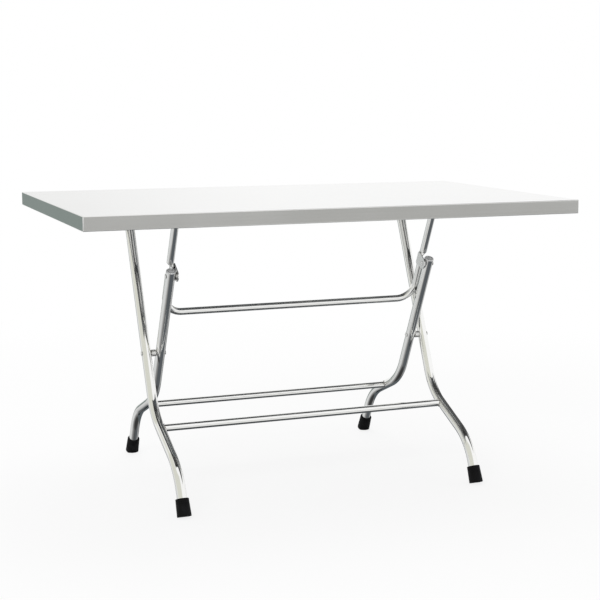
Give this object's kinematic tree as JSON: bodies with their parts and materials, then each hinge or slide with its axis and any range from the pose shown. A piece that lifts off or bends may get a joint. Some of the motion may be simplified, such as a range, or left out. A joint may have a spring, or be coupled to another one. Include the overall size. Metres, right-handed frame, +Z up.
{
  "type": "folding table",
  "caption": "Rectangular folding table: a folded stainless sheet top on crossed pairs of S-bent tube legs, held open by a U-shaped over-centre lock frame.",
  "frame": {"origin": "on the floor, under the middle of the top", "axes": "+X to the right along the top's length, +Y to the back, +Z up; the front edge faces -Y"},
  "size_m": [1.3, 0.75, 0.75],
  "materials": {
    "top": "satin stainless sheet",
    "rail": "mill stainless sheet",
    "leg": "mirror-polished tube",
    "thin_tube": "mirror-polished tube",
    "bracket": "pressed steel plate",
    "rivet": "bright rivet steel",
    "rubber": "matt black rubber",
    "plug": "grey moulded plastic"
  },
  "bodies": {
    "tabletop": {"table_top": "top", "rear_hinge_rail": "rail", "front_hinge_rail": "rail", "front_leg_bracket_left": "bracket", "front_leg_bracket_right": "bracket", "lock_frame_bracket_left": "bracket", "lock_frame_bracket_right": "bracket", "front_leg_pin_left": "rivet", "front_leg_pin_right": "rivet", "lock_frame_pin_left": "rivet", "lock_frame_pin_right": "rivet", "rear_bracket_rivet_1": "rivet", "rear_bracket_rivet_2": "rivet", "rear_bracket_rivet_3": "rivet", "rear_bracket_rivet_4": "rivet", "front_bracket_rivet_1": "rivet", "front_bracket_rivet_2": "rivet", "front_bracket_rivet_3": "rivet", "front_bracket_rivet_4": "rivet"},
    "front_legs": {"front_leg_left": "leg", "front_leg_right": "leg", "front_crossbar": "thin_tube", "front_foot_left": "rubber", "front_foot_right": "rubber", "crossing_rivet_outer_left": "rivet", "crossing_rivet_outer_right": "rivet", "crossing_spacer_left": "bracket", "crossing_spacer_right": "bracket"},
    "lock_frame": {"lock_frame_tube": "thin_tube", "lock_plate_left": "bracket", "lock_plate_right": "bracket", "lock_pivot_rivet_left": "rivet", "lock_pivot_rivet_right": "rivet", "lock_pivot_washer_left": "rivet", "lock_pivot_washer_right": "rivet"},
    "rear_legs": {"rear_leg_left": "leg", "rear_leg_right": "leg", "rear_crossbar": "thin_tube", "rear_foot_left": "rubber", "rear_foot_right": "rubber", "crossing_rivet_inner_left": "rivet", "crossing_rivet_inner_right": "rivet", "rear_leg_plug_left": "plug", "rear_leg_plug_right": "plug", "lock_stop_left": "rubber", "lock_stop_right": "rubber"}
  },
  "joints": [
    {"name": "front_leg_hinge", "type": "hinge", "parent": "tabletop", "child": "front_legs", "pos_m": [0, 0.1852, 0.708], "axis": [-1, 0, 0], "range_deg": [0, 56]},
    {"name": "lock_frame_hinge", "type": "hinge", "parent": "tabletop", "child": "lock_frame", "pos_m": [0, -0.1214, 0.708], "axis": [1, 0, 0], "range_deg": [0, 69.2]},
    {"name": "rear_leg_hinge", "type": "hinge", "parent": "lock_frame", "child": "rear_legs", "pos_m": [0, -0.0855, 0.563], "axis": [-1, 0, 0], "range_deg": [0, 174]}
  ],
  "couplings": [
    {"joint": "lock_frame_hinge", "follows": "front_leg_hinge", "ratio": 1.2345},
    {"joint": "rear_leg_hinge", "follows": "front_leg_hinge", "ratio": 3.1059}
  ]
}
